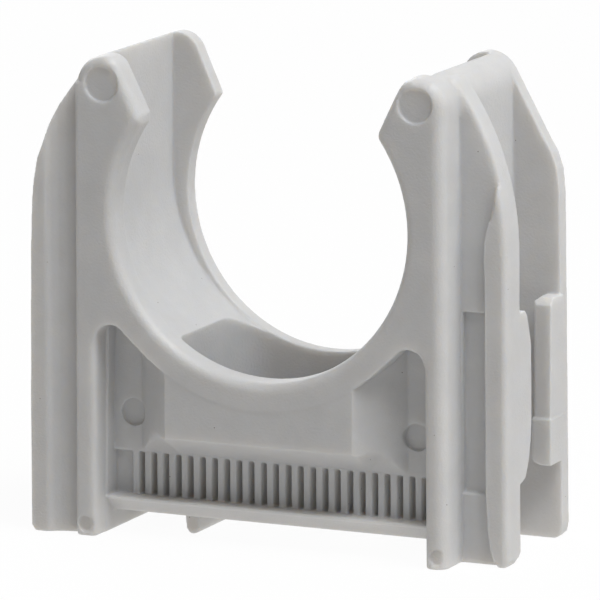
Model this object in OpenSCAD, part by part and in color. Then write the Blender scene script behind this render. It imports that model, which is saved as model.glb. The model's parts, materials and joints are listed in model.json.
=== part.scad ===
// Linkable clip for one plastic pipe, moulded in one piece.
// X runs across the pipe, Y along it and Z away from the wall.
// The origin lies on the wall plane, under the pipe's axis, at the middle of the clip's depth.

/* [Pipe seat] */
// Outside diameter of the pipe
pipe_d = 25; // [20:0.5:32]
// Play between the pipe and the seat, on the radius
seat_gap = 0.15; // [0:0.05:0.3]
// Height of the seat's lowest line above the wall
seat_floor_h = 13.7; // [13:0.1:18]
// How far above the pipe's axis the arms hold on, in degrees
grip_angle = 37.4; // [30:0.2:46]
// Thickness of the seat's shell
shell_t = 2.3; // [1.8:0.1:3]
// Room behind the two lips at the height of the axis
lip_h = 1.3; // [0.6:0.1:2]

/* [Body] */
// Depth of the clip along the pipe
clip_d = 15.5; // [14:0.5:24]
// Thickness of the front plate
front_t = 2.3; // [1.8:0.1:3]
// Thickness of the back plate
back_t = 1.4; // [1:0.1:2]
// Thickness of the two side walls
wall_t = 1.95; // [1.4:0.05:2.6]
// How much wider each side wall stands at its foot
wall_lean = 0.25; // [0.05:0.05:0.6]
// How much further apart the side walls stand inside, at their feet
wall_draft = 0.35; // [0:0.05:0.35]
// Step between the side walls' inner faces and the front plate's legs
leg_step = 0.3; // [0.2:0.05:0.5]
// How much further apart the front plate's legs stand at their feet
leg_taper = 0.1; // [0.05:0.05:0.3]
// Round of the legs' inner front edge
leg_edge_r = 0.5; // [0.3:0.1:0.6]
// Round of the arms' outer top edge
arm_top_r = 2.5; // [1.5:0.1:2.6]
// Round of the front plate's outer edge beside the tee rail
front_edge_r = 1; // [0.4:0.1:1.4]
// Round of the front plate's outer edge beside the channel
left_edge_r = 0.4; // [0.2:0.1:0.6]
// Round of the seat's front edge
seat_edge_r = 0.8; // [0.3:0.1:1.2]

/* [Horns] */
// Height of the arm tops above the lips' points
horn_h = 4.95; // [4:0.05:6]
// Widening of the mouth on the front plate
mouth_flare_front = 2.45; // [1.5:0.05:2.8]
// Widening of the mouth on the back plate
mouth_flare_back = 2.2; // [1.5:0.05:2.8]
// Round of the front plate's edge along the horns
horn_edge_r = 0.8; // [0.3:0.1:1]
// Least round of the front plate's edge over the arms' outer tops
horn_outer_r = 0.85; // [0.85:0.05:1]
// Round of the horns' inner top corner on the front plate
horn_r_front = 1.5; // [1:0.1:2]
// Round of the horns' inner top corner on the back plate
horn_r_back = 2; // [1:0.1:2]

/* [Base] */
// Height of the ledge's top above the wall
ledge_top_h = 3.1; // [2.6:0.1:3.6]
// Height of the ledge's front edge
ledge_edge_t = 0.25; // [0.1:0.05:0.4]
// Set-back of the ledge's edge from the front
ledge_y = 1.75; // [1:0.05:2]
// Overhang of the ledge's edge over the slope below it
ledge_lip = 0.15; // [0.05:0.05:0.3]
// Slope of the ledge's underside, as set-back and as drop
ledge_slope = 1.15; // [0.8:0.05:1.3]
// Drop of the windows' tops below the pipe's axis
window_drop = 8.95; // [8.5:0.05:9.5]
// Round of the windows' upper outer corners
arch_r = 1.35; // [1.2:0.05:1.35]
// Set-back of the windows' rear wall
web_y = 3.1; // [2.8:0.1:3.6]
// Thickness of that wall
web_t = 1.5; // [1.2:0.1:2]
// Height of the grip ribs' tops
rib_top_h = 6.75; // [6:0.25:7]
// Number of grip ribs
rib_count = 24; // [12:1:24]
// Spacing of the grip ribs
rib_pitch = 1.075; // [0.9:0.025:1.075]
// Width of one grip rib
rib_w = 0.56; // [0.4:0.02:0.6]
// Depth of the grooves between the ribs
groove_depth = 1.2; // [0.6:0.1:1.4]
// Thickness of the wall behind the grooves
rib_back_t = 1.2; // [1:0.1:1.6]
// Step from the window wall back to the ribs' plain field
field_step = 0.45; // [0.1:0.05:0.6]
// Narrowing of the grooves on each side, from the ribs' fronts to the grooves' floors
rib_taper = 0.1; // [0.02:0.02:0.14]

/* [Boss] */
// Half width of the boss at its front
boss_half = 8.15; // [7:0.05:8.5]
// Height of the boss's lower edge
boss_low_h = 8.6; // [7.5:0.1:9]
// Half width of the boss at the window wall
boss_root_half = 11.6; // [10:0.1:12]
// Set-back of the boss from the front plate
boss_step = 0.06; // [0.02:0.02:0.2]

/* [Screw pocket] */
// Half width of the pocket at the seat
pocket_half = 8.15; // [7:0.05:8.5]
// Set-back of the pocket from the front
pocket_y = 2.5; // [2.3:0.1:3]
// Round of the pocket's rear corners
pocket_r = 3.2; // [1:0.1:4]
// Thickness of the pocket's side walls
pocket_wall = 0.85; // [0.7:0.05:1.2]
// Thickness of the screw plate
screw_plate_t = 1.8; // [1.4:0.1:2.4]
// Distance of the foot rib from the middle
foot_rib_x = 7.1; // [6:0.05:7.4]
// Width of the foot rib
foot_rib_w = 1.2; // [1.1:0.05:1.4]
// Set-back of the foot rib from the front
foot_rib_y = 4; // [3.5:0.1:5]
// Diameter of the screw hole
screw_d = 5; // [3.5:0.1:6]

/* [Linking rails] */
// Reach of the rails beyond the side walls, at the height of the axis
rail_reach = 4.2; // [3.8:0.1:4.6]
// Set-back of the tee rail's web
tee_y = 3.4; // [3.2:0.1:3.8]
// Thickness of the tee rail's web
tee_web_t = 2.1; // [1.6:0.1:2.4]
// Width of the tee rail's lips
tee_lip_w = 1.75; // [1.2:0.05:2]
// Reach of the tee rail's front lip
tee_front_lip = 0.7; // [0.6:0.05:1.1]
// Round of the front lip's outer edge
tee_edge_r = 0.5; // [0.2:0.1:0.5]
// Reach of the tee rail's rear lip
tee_rear_lip = 2.3; // [2:0.1:2.4]
// Depth of the recess in the tee rail's web
recess_depth = 0.5; // [0.2:0.05:0.6]
// Thickness of the channel's rear wall
channel_t = 1.5; // [1:0.1:2]
// Play between the tee rail and the next clip's channel
link_gap = 0.3; // [0.2:0.05:0.5]
// Height of the lower end of the rear lip and the lug
catch_low_h = 6.2; // [5:0.1:8]
// Height of the upper end of the rear lip and the lug
catch_high_h = 20.1; // [16:0.1:22]
// Reach of the lug from the back plate
lug_reach = 2.2; // [1.6:0.1:2.6]
// Width of the lug
lug_w = 1.5; // [1.2:0.05:1.8]
// Height of the lug's wide foot
lug_foot_h = 4; // [2:0.1:6]
// How much wider the lug's foot is
lug_foot_step = 0.15; // [0.05:0.05:0.3]
// Radius of the rails' bowed upper edge
bow_r = 22.2; // [18:0.1:26]

/* [Ejector marks] */
// Radius of the marks on the arms
arm_mark_r = 1.45; // [1:0.05:1.6]
// Radius of the marks on the legs
leg_mark_r = 0.65; // [0.4:0.05:0.7]
// Radius of the marks in the windows
window_mark_r = 1.1; // [0.8:0.05:1.2]
// Height of the marks in the windows
window_mark_h = 9.8; // [8:0.1:12]
// Depth of the marks on the arms and legs
mark_depth = 0.25; // [0.1:0.05:0.4]
// Depth of the marks in the windows
window_mark_depth = 0.35; // [0.1:0.05:0.4]

/* [Hidden] */
$fn = 96;

// Overlap that joins one body to the next
lap = 0.4;
// Length that is past every face
far = 60;

seat_r = pipe_d / 2 + seat_gap;
axis_h = seat_floor_h + seat_r;
shell_r = seat_r + shell_t;
wall_in = seat_r + lip_h;
wall_out = wall_in + wall_t;
floor_r = wall_in;
floor_rise = floor_r - seat_r;
tip_x = seat_r * cos(grip_angle);
tip_h = axis_h + seat_r * sin(grip_angle);
top_h = tip_h + horn_h;
back_y = clip_d - back_t;
rail_out = wall_out + rail_reach;
bow_h = axis_h - 1.8;
window_top_h = axis_h - window_drop;
plate_low_h = ledge_top_h - ledge_edge_t - ledge_slope;
rib_back_y = web_y + groove_depth + rib_back_t;
screw_y = (rib_back_y + back_y) / 2;
plastic = [0.76, 0.77, 0.77];

// Extrudes an outline drawn in X and Z from y0 to y1
module across(y0, y1) {
    translate([0, y1, 0]) rotate([90, 0, 0]) linear_extrude(y1 - y0) children();
}

// Extrudes an outline drawn in Y and Z from x0 to x1
module along(x0, x1) {
    translate([x0, 0, 0]) rotate([90, 0, 90]) linear_extrude(x1 - x0) children();
}

// Makes the same thing on both sides
module both_sides() {
    children();
    mirror([1, 0, 0]) children();
}

// Outline of one side, leaning out towards its foot, with a round top edge
module arm_outline() {
    polygon([
        [0, 0], [wall_out + wall_lean, 0], [wall_out, top_h - arm_top_r],
        [wall_out - arm_top_r, top_h - arm_top_r], [wall_out - arm_top_r, top_h], [0, top_h]
    ]);
    translate([wall_out - arm_top_r, top_h - arm_top_r]) circle(arm_top_r);
}

// Side wall behind the front plate, thinner inside towards its foot
module side_wall() {
    across(front_t - lap, back_y + lap) difference() {
        arm_outline();
        polygon([
            [-far, -1], [wall_in + wall_draft, -1], [wall_in + wall_draft, 0],
            [wall_in, window_top_h], [wall_in, far], [-far, far]
        ]);
    }
}

// Upright strip with a round edge, to be cut off a corner that moves by dx between the feet and h
module round_edge(x, dx, h, r, z1) {
    translate([x, 0, 0]) rotate([0, -atan(dx / h), 0]) translate([0, 0, -1])
        linear_extrude(z1 + 1) difference() {
            translate([-1, -1]) square([r + 1, r + 1]);
            translate([r, r]) circle(r);
        }
}

// Mouth between the arms, narrowest at the lips' points, with the horns' round inner top corner
module mouth(flare, corner_r, blunt) {
    slope = atan2(horn_h, flare);
    round_x = tip_x + flare + corner_r / tan(90 - slope / 2);
    point = [tip_x + blunt * cos(slope), tip_h + blunt * sin(slope)];
    steps = 6;
    both_sides() polygon(concat(
        [[-1, point[1] - 1.25], [point[0] + 0.1, point[1] - 1.25], point],
        [for (i = [0 : steps]) let (a = 90 + slope * (1 - i / steps))
            [round_x + corner_r * cos(a), top_h - corner_r + corner_r * sin(a)]],
        [[round_x, top_h + 1], [-1, top_h + 1]]
    ));
}

// Everything under the seat's shell, between the tapering legs
module under_shell() {
    x = wall_in + leg_step;
    w = window_top_h;
    low = w - 2.6;
    difference() {
        both_sides() {
            polygon([[-1, -1], [x + leg_taper, -1], [x + leg_taper, 0], [x, low], [-1, low]]);
            translate([x - arch_r, w - arch_r]) circle(arch_r);
            translate([x - 2, w - 3.4]) square([2, 3.4 - arch_r]);
            polygon([
                [0, w - 3.2], [x - arch_r, w - 3.2], [x - arch_r, w], [x - 1.8, w - 0.1],
                [x - 2.2, w - 0.35], [x - 3.15, w - 1.2], [x - 4.8, w - 2.7]
            ]);
        }
        translate([0, axis_h]) circle(shell_r);
    }
}

// Ring with a round inner edge, to be cut off the front edge of a disc of radius r
module round_rim(r, edge_r) {
    rotate([-90, 0, 0]) rotate_extrude() difference() {
        translate([r - edge_r, -1]) square([1 + edge_r, 1 + edge_r]);
        translate([r - edge_r, edge_r]) circle(edge_r);
    }
}

// Ring with a round outer edge, to be cut off the front edge of a hole of radius r
module flared_rim(r, edge_r) {
    rotate([-90, 0, 0]) rotate_extrude() difference() {
        translate([0, -1]) square([r + edge_r, 1 + edge_r]);
        translate([r + edge_r, edge_r]) circle(edge_r);
    }
}

// Round edge that fades out over a window's upper outer corner
module arch_edge_cut() {
    x = wall_in + leg_step - arch_r;
    z = window_top_h - arch_r - leg_edge_r - 0.05;
    intersection() {
        translate([x, 0, z]) flared_rim(arch_r, leg_edge_r);
        translate([x + 0.1, -2, z + 0.2]) cube([far, 4, far]);
    }
}

// Round front edge of one horn, over its top and down to the lip's point
module horn_edge_cut(outer_r) {
    slope = atan2(horn_h, mouth_flare_front);
    round_x = tip_x + mouth_flare_front + horn_r_front / tan(90 - slope / 2);
    outer_x = wall_out - arm_top_r;
    seam = 0.3;
    intersection() {
        translate([outer_x, 0, top_h - arm_top_r]) round_rim(arm_top_r, outer_r);
        translate([round_x, -2, top_h - arm_top_r + seam]) cube([far, 4, far]);
    }
    intersection() {
        translate([round_x, 0, top_h - horn_r_front]) round_rim(horn_r_front + 0.02, horn_edge_r);
        translate([round_x, -2, top_h - horn_r_front]) rotate([0, 90 - slope, 0])
            translate([-far, 0, seam]) cube([far, 4, far]);
        translate([round_x - far, -2, 0]) cube([far, 4, far]);
    }
    translate([tip_x, 0, tip_h]) rotate([0, 90 - slope, 0])
        linear_extrude(horn_h / sin(slope) + 0.5) difference() {
            translate([-1, -1]) square([1 + horn_edge_r, 1 + horn_edge_r]);
            translate([horn_edge_r, horn_edge_r]) circle(horn_edge_r);
        }
}

// Round outer edge of one side, from the wall up over the horn
module outer_edge_cut(r) {
    mirror([1, 0, 0]) round_edge(-wall_out - wall_lean, -wall_lean, top_h - arm_top_r, r, far);
    horn_edge_cut(max(r, horn_outer_r));
}

module front_plate() {
    difference() {
        across(0, front_t) difference() {
            both_sides() arm_outline();
            under_shell();
            mouth(mouth_flare_front, horn_r_front, 0.45);
        }
        outer_edge_cut(front_edge_r);
        mirror([1, 0, 0]) outer_edge_cut(left_edge_r);
        both_sides() {
            round_edge(wall_in + leg_step + leg_taper, leg_taper, window_top_h - 2.6, leg_edge_r,
                window_top_h - arch_r - leg_edge_r + 0.25);
            arch_edge_cut();
        }
    }
}

// Outline of the tee rail seen from the front, bowed above and leaning below
module tee_outline() {
    intersection() {
        translate([rail_out - bow_r, bow_h + 0.35]) circle(bow_r);
        translate([0, bow_h - lap]) square([far, top_h - bow_h]);
    }
    polygon([[0, 0], [rail_out, 0], [rail_out + 0.15, 0.5], [rail_out, bow_h], [0, bow_h]]);
}

// Outline of the channel's walls, with a straight upper edge
module channel_outline() {
    polygon([
        [0, 0], [rail_out - 0.2, 0], [rail_out + 0.05, 0.5], [rail_out, bow_h - 13.8], [rail_out - 0.15, bow_h - 1.6],
        [rail_out - 0.3, bow_h + 2.4], [rail_out - 0.45, bow_h + 4], [rail_out - 0.8, bow_h + 5.9],
        [rail_out - 1.25, bow_h + 7], [rail_out - 1.8, bow_h + 8.75], [rail_out - 2.45, bow_h + 10.15],
        [rail_out - 3.4, bow_h + 11.55], [wall_out - 0.7, top_h - 0.95], [0, top_h - 0.95]
    ]);
}

// Outline of the back plate on the tee side, with a straight upper edge
module back_wing_outline() {
    polygon([
        [0, 0], [rail_out - 0.5, 0], [rail_out, 0.45], [rail_out + 0.15, 1.2],
        [rail_out - 0.2, bow_h + 3.3], [rail_out - 0.4, bow_h + 5.35], [rail_out - 0.85, bow_h + 6.7],
        [rail_out - 1.5, bow_h + 7.75], [wall_out - 0.3, top_h - 1.25], [0, top_h - 1.25]
    ]);
}

module back_plate() {
    across(back_y, clip_d) difference() {
        union() {
            back_wing_outline();
            both_sides() arm_outline();
        }
        mouth(mouth_flare_back, horn_r_back, 0.2);
    }
}

// Shell under the pipe, between the two plates
module cradle() {
    across(front_t - lap, back_y + lap) intersection() {
        translate([0, axis_h]) circle(shell_r);
        translate([-wall_in - lap, 0]) square([2 * wall_in + 2 * lap, axis_h + floor_rise - lap]);
    }
}

// Ledge, wall behind the windows and thicker wall behind the ribs, in one profile
module web() {
    along(-wall_in - lap, wall_in + lap) polygon([
        [ledge_y, ledge_top_h], [ledge_y, ledge_top_h - ledge_edge_t],
        [ledge_y + ledge_lip, ledge_top_h - ledge_edge_t], [ledge_y + ledge_lip + ledge_slope, plate_low_h],
        [rib_back_y, plate_low_h], [rib_back_y, rib_top_h + 1], [web_y + web_t, rib_top_h + 1],
        [web_y + web_t, axis_h - 4], [web_y, axis_h - 4], [web_y, ledge_top_h]
    ]);
}

// Boss in front of the web, sloping back to the ribs below, with its lower corners folded up
module boss() {
    slope = (boss_low_h - rib_top_h) / web_y;
    buried = lap * (boss_root_half - boss_half) / (web_y - boss_step);
    fold = 0.54;
    steepness = norm([fold, slope, 1]);
    difference() {
        translate([0, 0, rib_top_h - 1]) linear_extrude(axis_h - 7 - rib_top_h) polygon([
            [-boss_half, boss_step], [boss_half, boss_step],
            [boss_root_half + buried, web_y + lap], [-boss_root_half - buried, web_y + lap]
        ]);
        along(-far, far) polygon([
            [-1, boss_low_h + slope], [web_y + 1, rib_top_h - slope], [web_y + 1, 0], [-1, 0]
        ]);
        both_sides() intersection() {
            translate([boss_half + 0.15, 0, boss_low_h]) rotate([0, acos(-1 / steepness), atan2(-slope, fold)])
                translate([-far / 2, -far / 2, 0]) cube(far);
            along(boss_half - 1, far) polygon([
                [-1, boss_low_h + 3.1], [web_y + 1, boss_low_h - 3.1], [web_y + 1, 0], [-1, 0]
            ]);
        }
    }
}

// Plain field and grooves that leave the grip ribs standing
module rib_cuts() {
    first_x = 0.13 - ((rib_count - 1) * rib_pitch + rib_w) / 2;
    front = web_y - 0.2;
    floor_y = web_y + groove_depth;
    intersection() {
        linear_extrude(rib_top_h + 1) {
            translate([-wall_in - 0.2, front]) square([first_x + wall_in + 0.2, 0.2 + field_step]);
            for (i = [0 : rib_count - 1]) translate([first_x + rib_w + i * rib_pitch, 0]) polygon([
                [0, front], [rib_pitch - rib_w, front], [rib_pitch - rib_w, web_y],
                [rib_pitch - rib_w - rib_taper, floor_y], [rib_taper, floor_y], [0, web_y]
            ]);
        }
        along(-far, far) polygon([
            [front - 1, ledge_top_h], [floor_y + 1, ledge_top_h], [floor_y + 1, rib_top_h - 0.85],
            [web_y + 0.2, rib_top_h - 0.12], [front - 1, rib_top_h - 0.12]
        ]);
    }
}

// Block that the screw pocket is cut from
module pocket_block() {
    half = pocket_half + pocket_wall;
    translate([-half, web_y + web_t - lap, plate_low_h])
        cube([2 * half, back_y - web_y - web_t + 2 * lap, seat_floor_h + 3 - plate_low_h]);
}

// Rib under the pocket's wall that stands on the wall plane, with round lower edges
module foot_rib() {
    x0 = -foot_rib_x - foot_rib_w;
    top = plate_low_h + lap;
    across(foot_rib_y, back_y + lap) polygon([
        [x0 - 0.05, top], [x0 + 0.1, 0.4], [x0 + 0.25, 0.1], [x0 + 0.4, 0],
        [-foot_rib_x - 0.45, 0], [-foot_rib_x - 0.2, 0.1], [-foot_rib_x, 0.4], [-foot_rib_x + 0.05, top]
    ]);
}

// Upright opening with round corners, from y0 to the back plate and from z0 up
module pocket_hole(y0, z0) {
    front_r = 1;
    translate([0, 0, z0]) linear_extrude(far) {
        both_sides() {
            translate([pocket_half - pocket_r, back_y - pocket_r]) circle(pocket_r);
            translate([pocket_half - front_r, y0 + front_r]) circle(front_r);
        }
        translate([-pocket_half, y0 + front_r]) square([2 * pocket_half, back_y - pocket_r - y0 - front_r]);
        translate([-pocket_half + pocket_r, y0]) square([2 * (pocket_half - pocket_r), back_y - y0]);
        translate([-pocket_half + front_r, y0]) square([2 * (pocket_half - front_r), back_y - pocket_r - y0]);
    }
}

// Pocket that the screw goes in by, open to the seat
module pocket_cut() {
    pocket_hole(pocket_y, boss_low_h + 1);
    pocket_hole(rib_back_y, plate_low_h + screw_plate_t);
    translate([0, screw_y, -1]) cylinder(d = screw_d, h = plate_low_h + screw_plate_t + 2);
}

// Channel between the two plates, wider than the seat
module channel_cut() {
    across(front_t, back_y) {
        translate([0, axis_h + floor_rise]) circle(floor_r);
        translate([-wall_in, axis_h + floor_rise]) square([2 * wall_in, far]);
    }
}

// Bore of the seat with its round front edge
module seat_cut() {
    translate([0, 0, axis_h]) rotate([-90, 0, 0]) translate([0, 0, -1]) cylinder(r = seat_r, h = clip_d + 2);
    translate([0, 0, axis_h]) flared_rim(seat_r, seat_edge_r);
}

// Tee rail that slides into the next clip's channel
module tee_rail() {
    lip_x = rail_out - tee_lip_w;
    front_y = tee_y - tee_front_lip;
    rear_y = tee_y + tee_web_t + tee_rear_lip;
    difference() {
        intersection() {
            across(0, clip_d) tee_outline();
            union() {
                along(wall_in + lap, far) polygon([
                    [tee_y, 0], [tee_y + tee_web_t - 0.8, 0], [tee_y + tee_web_t, 0.8],
                    [tee_y + tee_web_t, far], [tee_y, far]
                ]);
                across(front_y, tee_y + lap) polygon([
                    [lip_x + 0.05, 5.5], [lip_x + 0.2, 3], [lip_x + 0.45, 1.4], [lip_x + 0.7, 0.6], [lip_x + 1.05, 0],
                    [far, 0], [far, bow_h + 5.8], [lip_x + 0.8, bow_h + 5.8], [lip_x + 0.6, bow_h + 4.2],
                    [lip_x + 0.15, bow_h + 2.5], [lip_x - 0.15, bow_h + 1.2], [lip_x - 0.1, bow_h - 1.2]
                ]);
                along(lip_x, far) polygon([
                    [tee_y, catch_low_h], [rear_y - 1.9, catch_low_h + 0.1], [rear_y - 1.2, catch_low_h + 0.35],
                    [rear_y - 0.55, catch_low_h + 1.6], [rear_y - 0.15, catch_low_h + 3.2], [rear_y, catch_low_h + 4.8],
                    [rear_y, catch_high_h - 3.1], [rear_y - 0.2, catch_high_h - 2.3],
                    [rear_y - 0.8, catch_high_h - 0.6], [rear_y - 1.2, catch_high_h - 0.15], [tee_y, catch_high_h]
                ]);
            }
        }
        translate([0, front_y, 0]) mirror([1, 0, 0])
            round_edge(-rail_out - 0.15, -0.15, bow_h, tee_edge_r, bow_h + 0.3);
        intersection() {
            translate([rail_out - bow_r, front_y, bow_h + 0.35]) round_rim(bow_r + 0.03, tee_edge_r);
            translate([lip_x - 1, 0, bow_h + 0.25]) cube([far, clip_d, far]);
        }
    }
}

// Shallow recess in the tee rail's web, opposite its rear lip
module tee_recess() {
    x0 = wall_out + wall_lean;
    z0 = catch_low_h - 0.35;
    along(x0, rail_out - tee_lip_w - 0.05) polygon([
        [tee_y - 0.5, z0 - 0.25], [tee_y, z0 - 0.25], [tee_y + recess_depth, z0],
        [tee_y + recess_depth, catch_high_h], [tee_y - 0.5, catch_high_h]
    ]);
}

// Channel on the other side that takes the next clip's tee rail
module channel_flange() {
    hook_w = rail_reach - tee_lip_w - 2 * link_gap;
    front_wall_t = tee_y - tee_front_lip - link_gap;
    catch_y = back_y - lug_reach - link_gap;
    mirror([1, 0, 0]) intersection() {
        across(0, clip_d) channel_outline();
        linear_extrude(far) {
            polygon([
                [wall_in + lap, 1.02], [wall_out + 0.4, 1.02], [wall_out + 1.1, 0.9],
                [wall_out + 1.8, 0.7], [wall_out + 2.35, 0.42], [rail_out - 1.55, 0.18],
                [rail_out - 1.3, 0.12], [rail_out + 1, 0.12],
                [rail_out + 1, tee_y - link_gap], [rail_out - hook_w, tee_y - link_gap],
                [rail_out - hook_w, front_wall_t], [wall_in + lap, front_wall_t]
            ]);
            polygon([
                [wall_in + lap, catch_y - channel_t], [rail_out + 1, catch_y - channel_t],
                [rail_out + 1, back_y - link_gap], [rail_out - hook_w, back_y - link_gap],
                [rail_out - hook_w, catch_y], [wall_in + lap, catch_y]
            ]);
        }
    }
}

// Catch on the back plate that the next clip's rear hook goes behind, wider at its foot
module lug() {
    x0 = rail_out - lug_w;
    y0 = back_y - lug_reach;
    top = catch_high_h - 0.15;
    foot_x = x0 - lug_foot_step;
    foot_y = y0 - 0.12;
    foot_top_h = catch_low_h + lug_foot_h;
    intersection() {
        across(0, clip_d - lap) polygon([
            [x0 - 1, catch_low_h + 1], [far, catch_low_h + 1], [far, top - 0.3],
            [rail_out - 0.2, top], [x0 + 0.4, top], [x0 + 0.05, top - 0.3], [x0 - 1, top - 0.3]
        ]);
        along(0, far) polygon([
            [clip_d - lap, catch_low_h + 0.5], [y0, catch_low_h + 0.5], [y0, top - 0.6], [y0 + 0.5, top],
            [back_y - 0.3, top], [back_y, top - 0.1], [clip_d - lap, top - 0.1]
        ]);
        linear_extrude(far) polygon([
            [x0 - 0.15, back_y + lap], [x0 - 0.05, y0 + 0.3], [x0 + 0.15, y0],
            [rail_out + 0.02, y0], [rail_out + 0.02, back_y + lap]
        ]);
    }
    intersection() {
        across(0, clip_d - lap) polygon([
            [foot_x - 1, catch_low_h + 0.8], [foot_x, catch_low_h + 0.7], [foot_x + 0.3, catch_low_h + 0.4],
            [foot_x + 0.8, catch_low_h + 0.22], [far, catch_low_h + 0.2], [far, foot_top_h], [foot_x - 1, foot_top_h]
        ]);
        linear_extrude(far) polygon([
            [foot_x - 0.15, back_y + lap], [foot_x - 0.05, foot_y + 0.3], [foot_x + 0.15, foot_y],
            [rail_out + 0.08, foot_y], [rail_out + 0.08, back_y + lap]
        ]);
    }
}

// Round marks that the mould's ejector pins leave
module ejector_marks() {
    both_sides() {
        across(-1, mark_depth) translate([wall_out - 2.38, top_h - 2.2]) circle(arm_mark_r);
        across(-1, mark_depth) translate([wall_out - 0.62, 1]) circle(leg_mark_r);
        across(web_y - 1, web_y + window_mark_depth) translate([boss_root_half + 0.75, window_mark_h]) circle(window_mark_r);
    }
}

module pipe_clip() {
    color(plastic) translate([0, -clip_d / 2, 0]) difference() {
        union() {
            both_sides() side_wall();
            front_plate();
            back_plate();
            cradle();
            web();
            boss();
            pocket_block();
            foot_rib();
            tee_rail();
            channel_flange();
            lug();
        }
        channel_cut();
        seat_cut();
        pocket_cut();
        rib_cuts();
        tee_recess();
        ejector_marks();
    }
}

pipe_clip();
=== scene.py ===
import bpy
import bmesh
import json
import math
from mathutils import Matrix, Vector

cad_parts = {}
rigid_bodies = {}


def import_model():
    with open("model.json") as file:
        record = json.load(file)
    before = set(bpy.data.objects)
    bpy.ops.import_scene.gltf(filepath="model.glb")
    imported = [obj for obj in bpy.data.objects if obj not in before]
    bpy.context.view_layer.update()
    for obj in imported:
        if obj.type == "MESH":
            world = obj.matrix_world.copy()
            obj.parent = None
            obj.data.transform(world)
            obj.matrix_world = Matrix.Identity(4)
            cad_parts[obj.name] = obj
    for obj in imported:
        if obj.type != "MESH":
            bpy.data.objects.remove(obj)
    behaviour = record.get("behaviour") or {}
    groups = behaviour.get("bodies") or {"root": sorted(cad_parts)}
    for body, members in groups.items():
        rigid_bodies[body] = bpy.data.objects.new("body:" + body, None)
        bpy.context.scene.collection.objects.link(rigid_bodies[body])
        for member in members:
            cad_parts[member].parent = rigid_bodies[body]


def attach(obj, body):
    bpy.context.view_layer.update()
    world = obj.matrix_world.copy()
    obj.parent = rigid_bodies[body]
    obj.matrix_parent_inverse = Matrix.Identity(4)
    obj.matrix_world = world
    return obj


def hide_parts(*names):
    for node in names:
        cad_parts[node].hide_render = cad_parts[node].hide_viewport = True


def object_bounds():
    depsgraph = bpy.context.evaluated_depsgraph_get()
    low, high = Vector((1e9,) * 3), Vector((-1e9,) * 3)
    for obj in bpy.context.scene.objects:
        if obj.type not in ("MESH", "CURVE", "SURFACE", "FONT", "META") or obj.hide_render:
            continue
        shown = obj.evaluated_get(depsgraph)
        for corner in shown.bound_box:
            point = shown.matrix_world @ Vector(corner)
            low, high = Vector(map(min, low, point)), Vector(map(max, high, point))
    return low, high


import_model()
cadLow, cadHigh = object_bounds()
mm = 0.001
print("stage: frame loaded")

view = {
    "azimuth": 24.58,  # degrees to the right of the clip's front
    "elevation": 10.90,
    "roll": -0.24,
    "distance": 538.6,  # mm
    "focal": 11.2567,  # focal length as a share of the sensor's width
    "target": (0.07, 8.0, 19.01),  # mm, y from the clip's front
    "nearest": 10,  # mm
    "furthest": 20000,  # mm
}


def placeCamera():
    azimuth = math.radians(view["azimuth"])
    elevation = math.radians(view["elevation"])
    roll = math.radians(view["roll"])
    level = Vector((math.cos(azimuth), math.sin(azimuth), 0))
    ahead = Vector((-math.sin(azimuth) * math.cos(elevation),
                    math.cos(azimuth) * math.cos(elevation), -math.sin(elevation)))
    upright = level.cross(ahead)
    right = level * math.cos(roll) + upright * math.sin(roll)
    up = upright * math.cos(roll) - level * math.sin(roll)
    x, y, z = view["target"]
    target = Vector((x * mm, y * mm + cadLow[1], z * mm))
    lens = bpy.data.cameras.new("camera")
    lens.lens = lens.sensor_width * view["focal"]
    lens.clip_start = view["nearest"] * mm
    lens.clip_end = view["furthest"] * mm
    camera = bpy.data.objects.new("camera", lens)
    turn = Matrix((right, up, -ahead)).transposed().to_4x4()
    camera.matrix_world = Matrix.Translation(target - ahead * view["distance"] * mm) @ turn
    bpy.context.scene.collection.objects.link(camera)
    bpy.context.scene.camera = camera


placeCamera()
print("stage: camera")

clip = {
    "cell": 0.08,  # mm, width of the skin's cells before thinning
    "quickCell": 0.12,  # mm
    "weld": 0.002,  # mm
    "relax": 4,  # rounds of smoothing, which give the moulding's small edge radius
    "factor": 0.5,  # strength of one round
    "cellRounds": 4,  # rounds that spread an edge over one cell
    "triangles": 190000,
}


def copyNode(nodeName, name):
    solid = next(o for o in bpy.data.objects if o.type == "MESH" and o.name.split(".")[0] == nodeName)
    work = bmesh.new()
    work.from_mesh(solid.data)
    bmesh.ops.remove_doubles(work, verts=work.verts, dist=clip["weld"] * mm)
    mesh = bpy.data.meshes.new(name)
    work.to_mesh(mesh)
    work.free()
    piece = bpy.data.objects.new(name, mesh)
    bpy.context.scene.collection.objects.link(piece)
    return piece


def applyModifiers(piece):
    graph = bpy.context.evaluated_depsgraph_get()
    done = bpy.data.meshes.new_from_object(piece.evaluated_get(graph))
    piece.modifiers.clear()
    old = piece.data
    piece.data = done
    bpy.data.meshes.remove(old)


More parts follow.
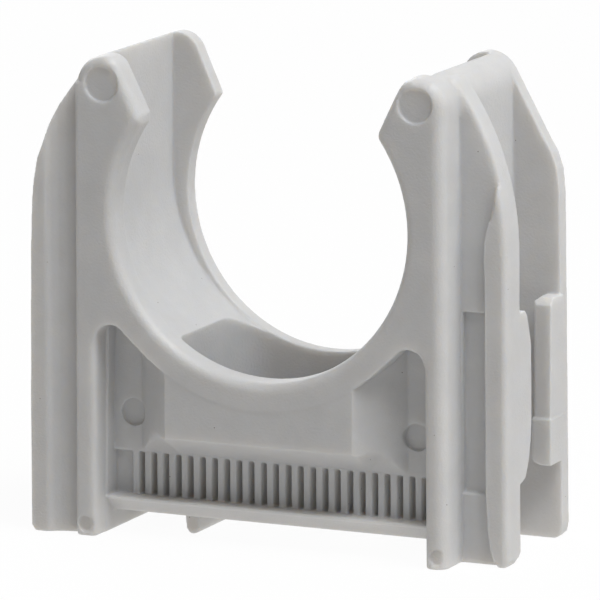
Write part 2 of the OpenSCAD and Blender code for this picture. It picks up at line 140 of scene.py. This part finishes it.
edges = {
    # mm, with x and z from the origin and y from the clip's front
    "worn": 0.24,  # spread of the rounding at the tips, the feet and the legs
    "tips": [((-10.05, 0.4, 34.0), 1.5), ((10.05, 0.4, 34.0), 1.5), ((-13.2, 0.5, 38.9), 1.5),
             ((13.2, 0.5, 38.9), 1.5)],  # centre and reach at the horns and the arms' tops
    "foot": 0.4,  # height of the rounding along the wall
    "leg": {"x": 14.3, "reach": 0.7, "front": 0.8, "top": 17.5},
    "bowWorn": 0.45,
    "bow": {"centre": (-2.1, 24.9), "radius": 22.2, "front": 3.4, "reach": 1.3, "inner": 15.7},
    "folds": [((15.9, 3.3, 38.1), 1.5), ((-9.9, 1.5, 8.4), 1.2), ((9.9, 1.5, 8.4), 1.2)],
    "ribWorn": 0.1,
    "ribs": {"front": 2.8, "back": 4.8, "low": 2.9, "top": 7.2, "half": 14.2},
    "dip": {"centre": (13.2, 0.9, 38.98), "reach": 2.4, "depth": 0.22},  # sink mark on the right arm
}


def near(spot, places):
    return any(math.dist(spot, centre) < reach for centre, reach in places)


def isWorn(x, y, z):
    leg = edges["leg"]
    onLeg = abs(abs(x) - leg["x"]) < leg["reach"] and y < leg["front"] and z < leg["top"]
    return z < edges["foot"] or onLeg or near((x, y, z), edges["tips"])


def isBow(x, y, z):
    bow = edges["bow"]
    if near((x, y, z), edges["folds"]):
        return True
    if x < bow["inner"] or z < bow["centre"][1] or abs(y - bow["front"]) > bow["reach"]:
        return False
    out = math.hypot(x - bow["centre"][0], z - bow["centre"][1])
    return abs(out - bow["radius"]) < bow["reach"]


def isRib(x, y, z):
    ribs = edges["ribs"]
    return ribs["front"] < y < ribs["back"] and ribs["low"] < z < ribs["top"] and abs(x) < ribs["half"]


def spotOf(vertex):
    return vertex.co.x / mm, (vertex.co.y - cadLow[1]) / mm, vertex.co.z / mm


def smoothed(piece, name, rounds):
    soften = piece.modifiers.new(name, "SMOOTH")
    soften.factor = clip["factor"]
    soften.iterations = rounds
    return soften


def wearEdges(piece, name, test, spread, cell):
    chosen = [vertex.index for vertex in piece.data.vertices if test(*spotOf(vertex))]
    piece.vertex_groups.new(name=name).add(chosen, 1.0, "REPLACE")
    wear = smoothed(piece, name, max(1, round(clip["cellRounds"] * (spread / cell) ** 2)))
    wear.vertex_group = name


def dipArm(piece):
    dip = edges["dip"]
    group = piece.vertex_groups.new(name="dip")
    for vertex in piece.data.vertices:
        away = math.dist(spotOf(vertex), dip["centre"]) / dip["reach"]
        if away < 1:
            group.add([vertex.index], (1 - away ** 2) ** 2, "REPLACE")
    lower = piece.modifiers.new("dip", "DISPLACE")
    lower.direction = "Z"
    lower.mid_level = 0
    lower.strength = -dip["depth"] * mm
    lower.vertex_group = "dip"


def mouldedSkin(nodeName, name):
    piece = copyNode(nodeName, name)
    cell = clip["cell"]
    grid = piece.modifiers.new("grid", "REMESH")
    grid.mode = "VOXEL"
    grid.voxel_size = cell * mm
    grid.use_smooth_shade = True
    smoothed(piece, "soften", clip["relax"])
    applyModifiers(piece)
    wearEdges(piece, "worn", isWorn, edges["worn"], cell)
    wearEdges(piece, "bow", isBow, edges["bowWorn"], cell)
    wearEdges(piece, "ribs", isRib, edges["ribWorn"], cell)
    dipArm(piece)
    applyModifiers(piece)
    print("stage: edges rounded")
    triangles = sum(len(face.vertices) - 2 for face in piece.data.polygons)
    thin = piece.modifiers.new("thin", "DECIMATE")
    thin.ratio = clip["triangles"] / triangles
    applyModifiers(piece)
    print("stage: skin thinned from", triangles, "to", len(piece.data.polygons), "triangles")
    return piece


clipBody = mouldedSkin("pipe_clip", "clipBody")
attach(clipBody, "root")
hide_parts("pipe_clip")

plastic = {
    "colour": (0.60, 0.603, 0.607),
    "roughness": 0.5,
    "refraction": 1.5,
    "glow": 0.7,  # share of the light that passes through the thin walls
    "glowReach": (2.2, 1.9, 1.5),  # mm
    "grainSize": 0.2,  # mm, eroded mould texture
    "grainDepth": 0.035,  # mm
    "grainDetail": 2.0,
    "cloudSize": 3.0,  # mm, faint clouds in the colour
    "cloudDepth": 0.03,
    "cloudDetail": 3.0,
    "cloudRange": (0.3, 0.7),
    "mottle": 0.6,  # roughness of both noises
    "speckColour": (0.16, 0.13, 0.11),
    "speckCell": 2.0,  # mm, one dark speck of the regrind to a cell
    "speckRadius": 0.045,  # mm
}


def node(tree, kind, **values):
    made = tree.nodes.new(kind)
    for name, value in values.items():
        if hasattr(made, name):
            setattr(made, name, value)
        else:
            made.inputs[name.replace("_", " ")].default_value = value
    return made


def noise(tree, place, name):
    field = node(tree, "ShaderNodeTexNoise", Scale=1 / (plastic[name + "Size"] * mm),
                 Detail=plastic[name + "Detail"], Roughness=plastic["mottle"])
    tree.links.new(place.outputs["Object"], field.inputs["Vector"])
    return field.outputs["Fac"]


def cloudedColour(tree, place):
    low, high = plastic["cloudRange"]
    shade = node(tree, "ShaderNodeMapRange", From_Min=low, From_Max=high,
                 To_Min=1 - plastic["cloudDepth"], To_Max=1 + plastic["cloudDepth"])
    tree.links.new(noise(tree, place, "cloud"), shade.inputs["Value"])
    tint = node(tree, "ShaderNodeVectorMath", operation="SCALE")
    tint.inputs[0].default_value = plastic["colour"]
    tree.links.new(shade.outputs[0], tint.inputs["Scale"])
    return tint.outputs[0]


def speckled(tree, place, ground):
    specks = node(tree, "ShaderNodeTexVoronoi", Scale=1 / (plastic["speckCell"] * mm))
    tree.links.new(place.outputs["Object"], specks.inputs["Vector"])
    inside = node(tree, "ShaderNodeMath", operation="LESS_THAN")
    inside.inputs[1].default_value = plastic["speckRadius"] / plastic["speckCell"]
    tree.links.new(specks.outputs["Distance"], inside.inputs[0])
    colour = node(tree, "ShaderNodeMix", data_type="RGBA")
    tree.links.new(inside.outputs[0], colour.inputs["Factor"])
    tree.links.new(ground, colour.inputs[6])  # inputs 6 and 7 are the two colours
    colour.inputs[7].default_value = (*plastic["speckColour"], 1)
    return colour.outputs[2]


def plasticMaterial():
    material = bpy.data.materials.new("clipPlastic")
    material.use_nodes = True
    tree = material.node_tree
    surface = tree.nodes["Principled BSDF"]
    surface.inputs["Roughness"].default_value = plastic["roughness"]
    surface.inputs["IOR"].default_value = plastic["refraction"]
    surface.inputs["Subsurface Weight"].default_value = plastic["glow"]
    surface.inputs["Subsurface Radius"].default_value = plastic["glowReach"]
    surface.inputs["Subsurface Scale"].default_value = mm
    place = node(tree, "ShaderNodeTexCoord")
    colour = speckled(tree, place, cloudedColour(tree, place))
    tree.links.new(colour, surface.inputs["Base Color"])
    relief = node(tree, "ShaderNodeBump", Strength=1.0, Distance=plastic["grainDepth"] * mm)
    tree.links.new(noise(tree, place, "grain"), relief.inputs["Height"])
    tree.links.new(relief.outputs["Normal"], surface.inputs["Normal"])
    return material


clipBody.data.materials.clear()
clipBody.data.materials.append(plasticMaterial())
print("stage: plastic")

studio = {
    "floorSize": 1500,  # mm
    "floorGap": 0.01,  # mm under the clip
    "floorColour": 0.15,
    # warm colour of the light that the floor paper glows with onto the clip, not the paper's own colour
    "floorGlowTint": (1, 0.975, 0.945),
    "floorGlow": (0.66, 0.54),  # brightness of the lit paper, near the clip and far from it
    "floorSpan": (25, 150),  # mm, where the brightness falls from the first to the second
    "paper": 0.93,
    "shadowShown": 0.04,  # share of the paper's real shading in the white ground
    "sky": (0.04, 0.04, 0.041),
    "centre": (0, 0, 19),  # mm, where the lamps point
    "lampDistance": 600,  # mm
    "lamps": {
        # degrees to the right of the front and above the floor, mm and watts
        "key": {"azimuth": 75, "elevation": 60, "size": 350, "power": 2.8, "colour": (1, 1, 1)},
        "fill": {"azimuth": 45, "elevation": 60, "size": 350, "power": 0.6, "colour": (1, 1, 1)},
        "side": {"azimuth": 95, "elevation": 10, "size": 300, "power": 0.38, "colour": (1, 0.98, 0.95)},
        "back": {"azimuth": 225, "elevation": 30, "size": 350, "power": 1.2, "colour": (1, 1, 1)},
    },
}


def seenDirectly(tree):
    path = node(tree, "ShaderNodeLightPath")
    glossy = node(tree, "ShaderNodeMath", operation="MAXIMUM")
    seen = node(tree, "ShaderNodeMath", operation="MAXIMUM")
    tree.links.new(path.outputs["Is Glossy Ray"], glossy.inputs[0])
    tree.links.new(path.outputs["Is Transmission Ray"], glossy.inputs[1])
    tree.links.new(path.outputs["Is Camera Ray"], seen.inputs[0])
    tree.links.new(glossy.outputs[0], seen.inputs[1])
    return seen.outputs[0]


def mixed(tree, factor, first, second):
    mix = node(tree, "ShaderNodeMixShader")
    if isinstance(factor, float):
        mix.inputs[0].default_value = factor
    else:
        tree.links.new(factor, mix.inputs[0])
    tree.links.new(first.outputs[0], mix.inputs[1])
    tree.links.new(second.outputs[0], mix.inputs[2])
    return mix


def grey(level):
    return level, level, level, 1


def floorGlow(tree):
    glow = node(tree, "ShaderNodeEmission", Color=(*studio["floorGlowTint"], 1))
    place = node(tree, "ShaderNodeTexCoord")
    away = node(tree, "ShaderNodeVectorMath", operation="LENGTH")
    tree.links.new(place.outputs["Object"], away.inputs[0])
    nearGlow, farGlow = studio["floorGlow"]
    start, stop = studio["floorSpan"]
    fall = node(tree, "ShaderNodeMapRange", From_Min=start * mm, From_Max=stop * mm, To_Min=nearGlow,
                To_Max=farGlow)
    tree.links.new(away.outputs["Value"], fall.inputs["Value"])
    tree.links.new(fall.outputs[0], glow.inputs["Strength"])
    return glow


def floorMaterial():
    material = bpy.data.materials.new("floorPaint")
    material.use_nodes = True
    tree = material.node_tree
    tree.nodes.remove(tree.nodes["Principled BSDF"])
    felt = node(tree, "ShaderNodeBsdfDiffuse", Color=grey(studio["floorColour"]))
    lit = node(tree, "ShaderNodeAddShader")
    tree.links.new(felt.outputs[0], lit.inputs[0])
    tree.links.new(floorGlow(tree).outputs[0], lit.inputs[1])
    white = node(tree, "ShaderNodeEmission", Strength=1.0)
    paper = node(tree, "ShaderNodeBsdfDiffuse", Color=grey(studio["paper"]))
    shown = mixed(tree, studio["shadowShown"], white, paper)
    ground = mixed(tree, seenDirectly(tree), lit, shown)
    tree.links.new(ground.outputs[0], tree.nodes["Material Output"].inputs["Surface"])
    return material


def layFloor():
    work = bmesh.new()
    bmesh.ops.create_grid(work, x_segments=1, y_segments=1, size=studio["floorSize"] * mm)
    bmesh.ops.translate(work, verts=work.verts, vec=(0, 0, cadLow[2] - studio["floorGap"] * mm))
    mesh = bpy.data.meshes.new("floor")
    work.to_mesh(mesh)
    work.free()
    mesh.materials.append(floorMaterial())
    floor = bpy.data.objects.new("floor", mesh)
    bpy.context.scene.collection.objects.link(floor)


def lightSky():
    world = bpy.data.worlds.new("studio")
    bpy.context.scene.world = world
    world.use_nodes = True
    tree = world.node_tree
    sky = tree.nodes["Background"]
    sky.inputs["Color"].default_value = (*studio["sky"], 1)
    sky.inputs["Strength"].default_value = 1.0
    white = node(tree, "ShaderNodeBackground", Color=(1, 1, 1, 1), Strength=1.0)
    around = mixed(tree, seenDirectly(tree), sky, white)
    tree.links.new(around.outputs[0], tree.nodes["World Output"].inputs["Surface"])


def hangLamp(name):
    lamp = studio["lamps"][name]
    light = bpy.data.lights.new(name, "AREA")
    light.shape = "DISK"
    light.size = lamp["size"] * mm
    light.energy = lamp["power"]
    light.color = lamp["colour"]
    azimuth = math.radians(lamp["azimuth"])
    elevation = math.radians(lamp["elevation"])
    outward = Vector((math.sin(azimuth) * math.cos(elevation),
                      -math.cos(azimuth) * math.cos(elevation), math.sin(elevation)))
    hook = (Vector(studio["centre"]) + outward * studio["lampDistance"]) * mm
    holder = bpy.data.objects.new(name, light)
    holder.matrix_world = Matrix.Translation(hook) @ outward.to_track_quat("Z", "Y").to_matrix().to_4x4()
    bpy.context.scene.collection.objects.link(holder)


def lightSetup():
    layFloor()
    lightSky()
    for name in studio["lamps"]:
        hangLamp(name)


lightSetup()
print("stage: lights")

bpy.context.scene.view_settings.view_transform = "Standard"
